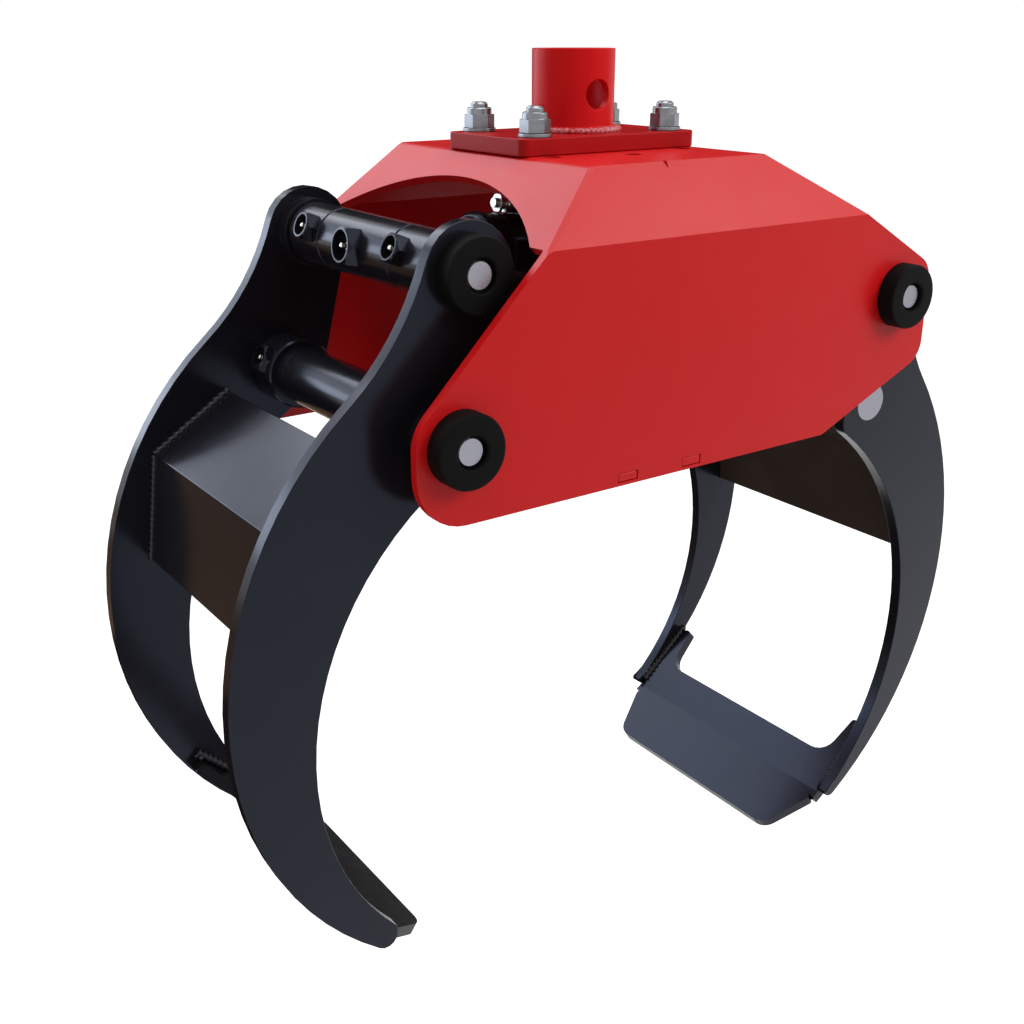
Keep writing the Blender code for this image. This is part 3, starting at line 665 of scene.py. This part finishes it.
def fold_hood(hood):
    """Flatten the folds of the top into narrow strips, as sheet has where a press brake bends it."""
    front = Vector((-TOP_HALF_X, -TOP_HALF_Y, TOP_Z))
    back = Vector((-TOP_HALF_X, TOP_HALF_Y, TOP_Z))
    folds = [(front, back),
             (front, Vector((NOTCH_X, -TOP_HALF_Y, TOP_Z))),
             (back, Vector((TOP_HALF_X, TOP_HALF_Y, TOP_Z))),
             (front, Vector((FOLD_LEFT, -SIDE_Y, FOLD_Z))),
             (back, Vector((FOLD_LEFT, SIDE_Y, FOLD_Z)))]
    select_edges(hood, lambda start, end: any(
        on_line(start, *fold) and on_line(end, *fold) for fold in folds))
    bpy.ops.mesh.bevel(offset=FOLD_STRIP * MM, offset_type="OFFSET", segments=1, affect="EDGES")
    bpy.ops.object.mode_set(mode="OBJECT")


def dress_hood(red, boss_red, shaded_plate_red, zinc, red_weld):
    """The hood, its tie plate, and the boss that is welded to a plate and bolted on top."""
    hood = plate_from("hood_shell", "hood_shell_finished")
    fold_hood(hood)
    round_edges(hood, 0.9, segments=4, angle=25.0, smooth_angle=24.0)
    finish(hood, "hood", red, "red_paint", "hood_shell")
    edged("hood_tie_plate", 1.7, red, "red_paint")
    # Painted shade: the rotator plate's coat is the darker red.
    edged("rotator_plate", 1.2, shaded_plate_red, "red_paint")
    edged("rotator_boss", 0.9, boss_red, "red_paint")
    ring = []
    for degrees in range(0, 361, 10):
        turn = math.radians(degrees)
        ring.append((BOSS_WELD_RING * math.cos(turn), BOSS_WELD_RING * math.sin(turn), BOSS_WELD_Z))
    # The weld's coat carries painted highlights on its ripples.
    finish(bead("boss_weld", ring, radius=3.4, pitch=4.6, swell=0.12), "hood", red_weld, "red_paint")
    for tag in FASTENERS:
        edged("rotator_bolt_" + tag, 0.4, zinc, "bare_steel", segments=2, smooth_angle=24.0)
        edged("rotator_washer_" + tag, 0.4, zinc, "zinc_plate")
        edged("rotator_nut_" + tag, 0.8, zinc, "zinc_plate", segments=2, smooth_angle=24.0)


def both_ends(half):
    """A pin's whole section from one half of it, given from the end to the middle."""
    return half + [(-along, radius) for along, radius in reversed(half)]


def dress_pins(steel, nylon):
    """The pins with stepped ends, the caps that sit on them, and pin D with its flush ends."""
    for name, (pin, face) in CAPPED.items():
        end = face + CAP_LONG - STUB_SUNK
        half = [(end, 0), (end, STUB_R - 1.2), (end - 1.2, STUB_R), (face, STUB_R), (face, PIN_R)]
        made = turned_piece("pin_" + name + "_finished", both_ends(half), (pin[0], 0, pin[1]), (0, 1, 0))
        finish(made, body_of_node["pin_" + name], steel, "bare_steel", "pin_" + name)
        low = face + GAP
        high = face + CAP_LONG
        hole = STUB_R + GAP
        cap = [(low, hole), (low, CAP_R), (high - 2.6, CAP_R), (high - 0.8, CAP_R - 0.8),
               (high, CAP_R - 2.6), (high, hole + 2.9), (high - 1.4, hole + 1.5),
               (high - CAP_RECESS, hole + 1.1), (high - CAP_RECESS, hole)]
        for side, way in (("front", -1), ("back", 1)):
            node = "cap_" + name + "_" + side
            made = turned_piece(node + "_finished", cap, (pin[0], 0, pin[1]), (0, way, 0))
            finish(made, body_of_node[node], nylon, "black_cap", node)
    step = RIGHT_IN + 10
    half = [(FLUSH_END_Y, 0), (FLUSH_END_Y, FLUSH_END_R - 0.8), (FLUSH_END_Y - 0.8, FLUSH_END_R),
            (step, FLUSH_END_R), (step, THIN_R)]
    made = turned_piece("pin_d_finished", both_ends(half), (PIN_D[0], 0, PIN_D[1]), (0, 1, 0))
    finish(made, body_of_node["pin_d"], steel, "bare_steel", "pin_d")


def guard_nipple(nipple, pin, y, angle, surface, rim, across, enamel, bright_zinc):
    """A hexagonal cup with a turned rim on an eye, and the grease nipple that stands in it.

    The surface and the rim are distances from the pin's axis, and across is the hexagon's flats."""
    body = body_of_node[nipple]
    foot = (pin[0], y, pin[1])
    out = direction(angle)
    corner = across / math.sqrt(3)
    floor = surface - 0.5
    rim_out = across / 2 - 0.8
    rim_in = across / 2 - 2.4
    cup = [(surface * 0.8, 0), (surface * 0.8, corner + 1), (rim - 4.0, corner + 1),
           (rim, rim_out), (rim, rim_in), (floor, rim_in), (floor, 0)]
    guard = hex_piece(nipple.replace("nipple", "guard"), cup, foot, out, across)
    finish(guard, body, enamel, "black_paint")
    stem = [(floor, 0), (floor, 4.0), (floor + 2.5, 4.0), (floor + 2.5, 2.3), (rim - 4.2, 1.7),
            (rim - 3.2, 2.3), (rim - 1.6, 2.1), (rim - 0.8, 1.2), (rim - 0.8, 0)]
    made = turned_piece(nipple + "_finished", stem, foot, out, 24)
    finish(made, body, bright_zinc, "zinc_plate", nipple)


def dress_claws(enamel, painted_light_enamel, dull_enamel, zinc, bright_zinc):
    """Both claws: plates, cross plates, scoops, and the tubes, sleeves and washers on their pins."""
    for side in ("front", "back"):
        edged("left_plate_" + side, 0.7, enamel, "black_paint", LEFT_MOVE)
        edged("right_plate_" + side, 0.7, enamel, "black_paint", RIGHT_MOVE)
        edged("left_boss_" + side, 0.7, enamel, "black_paint")
        edged("right_sleeve_" + side, 0.7, enamel, "black_paint")
        edged("right_washer_" + side, 0.5, zinc, "zinc_plate")
    edged("left_cross_plate", 0.8, enamel, "black_paint", LEFT_END_MOVE, angle=20.0)
    # Painted light: this plate's enamel is lighter and browner for the warm light that it catches.
    edged("right_cross_plate", 0.8, painted_light_enamel, "black_paint", RIGHT_END_MOVE, angle=20.0)
    edged("left_scoop", 0.8, dull_enamel, "black_paint", LEFT_END_MOVE, angle=12.0)
    edged("right_scoop", 0.8, enamel, "black_paint", RIGHT_END_MOVE, angle=8.0)
    half = LEFT_PLATE_IN - GAP
    made = tube("left_pivot_tube_finished", PIN_A, -half, half, PIVOT_TUBE_R, BORE_R)
    finish(made, "left_claw", enamel, "black_paint", "left_pivot_tube")
    made = tube("left_pivot_collar", PIN_A, COLLAR_FOOT, half, COLLAR_R, PIVOT_TUBE_R - 0.5)
    finish(made, "left_claw", enamel, "black_paint")
    guard_nipple("left_nipple", PIN_A, COLLAR_NIPPLE_Y, 152.0, COLLAR_R, COLLAR_R + 8, GUARD_FLATS,
                 enamel, bright_zinc)


def weld_claws(weld):
    """The welds along the cross plates' folded edges and beside the webs of the scoops."""
    folded = {"left": ([(-305, -263), (-382, -312), (-396, -414)], LEFT_PLATE_IN),
              "right": ([(317, -317), (386, -388), (390, -498)], RIGHT_PLATE_IN)}
    seams = {"left": ((-373, -634), (-341, -665), LEFT_PLATE_IN - 1.0),
             "right": ((262, -762), (330, -703), RIGHT_PLATE_IN - 0.5)}
    for claw in ("left", "right"):
        outline, inside = folded[claw]
        start, end, seam_y = seams[claw]
        for side, sign in (("front", -1), ("back", 1)):
            route = [(x, sign * (inside - 1.0), z) for x, z in outline]
            name = claw + "_weld_" + side
            upper = bead(name + "_upper", route[:2], radius=4.0, pitch=7.0, swell=0.2)
            lower = bead(name + "_lower", route[1:], radius=2.4, pitch=6.0, swell=0.22)
            route = [(start[0], sign * seam_y, start[1]), (end[0], sign * seam_y, end[1])]
            seam = bead(claw + "_scoop_weld_" + side, route, radius=4.5, pitch=7.0, swell=0.24)
            for made in (upper, lower, seam):
                finish(made, claw + "_claw", weld, "black_paint")


def dress_cylinder(enamel, chrome, bright_zinc):
    """The cylinder: an enamelled barrel and rod eye, a chromed rod and plated adapters."""
    edged("cylinder_barrel", 0.8, enamel, "black_paint")
    edged("cylinder_gland", 0.8, enamel, "black_paint")
    centre = (PIN_C[0], 0, PIN_C[1])
    inner_end = ROD_END_FROM_B - (Vector(PIN_B) - Vector(PIN_C)).length
    shaft = [(inner_end, 0), (inner_end, ROD_R - 1), (inner_end + 1, ROD_R), (-ROD_ROOT, ROD_R),
             (-ROD_ROOT, 0)]
    made = turned_piece("piston_rod_finished", shaft, centre, CYLINDER_WAY)
    finish(made, "piston_rod_body", chrome, "hard_chrome", "piston_rod")
    made = tube("rod_eye", PIN_C, -ROD_EYE_HALF, ROD_EYE_HALF, EYE_R, BORE_R)
    finish(made, "piston_rod_body", enamel, "black_paint")
    guard_nipple("rod_nipple", PIN_C, 0.0, 170.0, EYE_R, GUARD_RIM, ROD_GUARD_FLATS, enamel, bright_zinc)
    adapter = [(0, 0), (0, 8.0), (1.0, 9.0), (13.0, 9.0), (14.0, 8.0), (14.0, 5.2), (19.0, 5.2),
               (19.0, 8.4), (22.0, 8.4), (22.0, 4.4), (ADAPTER_LONG, 4.4), (ADAPTER_LONG, 0)]
    for node in ("port_adapter_left", "port_adapter_right"):
        low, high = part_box(node)
        middle = (Vector(low) + Vector(high)) / 2 / MM
        foot = middle - CYLINDER_WAY * (ADAPTER_LONG / 2)
        made = hex_piece(node + "_finished", adapter, foot, CYLINDER_WAY, ADAPTER_FLATS)
        finish(made, body_of_node[node], bright_zinc, "zinc_plate", node)


def dress_tie_rods(enamel, bright_zinc):
    """The tie rods: round bars from an eye on pin C to a wide eye round pin D."""
    reach = Vector((PIN_D[0] - PIN_C[0], 0, PIN_D[1] - PIN_C[1]))
    shank = [(ROD_ROOT, 0), (ROD_ROOT, TIE_ROD_R), (reach.length - FAR_ROOT, TIE_ROD_R),
             (reach.length - FAR_ROOT, 0)]
    for side, sign in (("front", -1), ("back", 1)):
        node = "tie_rod_" + side
        near = sorted((sign * (ROD_EYE_HALF + GAP), sign * TIE_EYE_OUT))
        middle = sign * TIE_ROD_Y
        made = turned_piece(node + "_finished", shank, (PIN_C[0], middle, PIN_C[1]), reach)
        finish(made, "tie_rods", enamel, "black_paint", node)
        near_eye = tube(node + "_near_eye", PIN_C, *near, EYE_R, BORE_R)
        far_eye = tube(node + "_far_eye", PIN_D, middle - FAR_EYE_HALF, middle + FAR_EYE_HALF,
                       FAR_EYE_R, FAR_BORE_R)
        for made in (near_eye, far_eye):
            finish(made, "tie_rods", enamel, "black_paint")
        guard_nipple("tie_nipple_" + side, PIN_C, sign * TIE_NIPPLE_Y, 157.0, EYE_R, GUARD_RIM,
                     GUARD_FLATS, enamel, bright_zinc)


bpy.context.scene.view_settings.view_transform = "Standard"
make_camera()
make_studio()
red = powder_coat("red_powder_coat", "#C91316", "#D3171B", 0.22)
boss_red = powder_coat("boss_powder_coat", "#C91316", "#D3171B", 0.08)
# Painted shade: the rotator plate gets a darker copy of the hood's red, standing in for the shade on the
# plate.
shaded_plate_red = powder_coat("plate_powder_coat_painted_shade", "#A01013", "#AA1417", 0.08)
enamel = black_enamel("black_enamel", "#15151A", "#1C1C22", 0.24)
# Painted light: a lighter, browner enamel for the right cross plate, standing in for the warm light that
# it catches.
painted_light_enamel = black_enamel("black_enamel_painted_light", "#332C28", "#47403A", 0.24)
dull_enamel = black_enamel("dull_black_enamel", "#1A1A1C", "#212123", 0.05)
zinc = zinc_plate("zinc_plate", "#62666A", "#8C9195")
bright_zinc = zinc_plate("bright_zinc_plate", "#B4B4B0", "#D8D6CF")
dress_hood(red, boss_red, shaded_plate_red, zinc, red_weld_painted_sheen())
dress_pins(turned_steel(), moulded_nylon())
dress_claws(enamel, painted_light_enamel, dull_enamel, zinc, bright_zinc)
weld_claws(weld_enamel())
dress_cylinder(enamel, hard_chrome(), bright_zinc)
dress_tie_rods(enamel, bright_zinc)
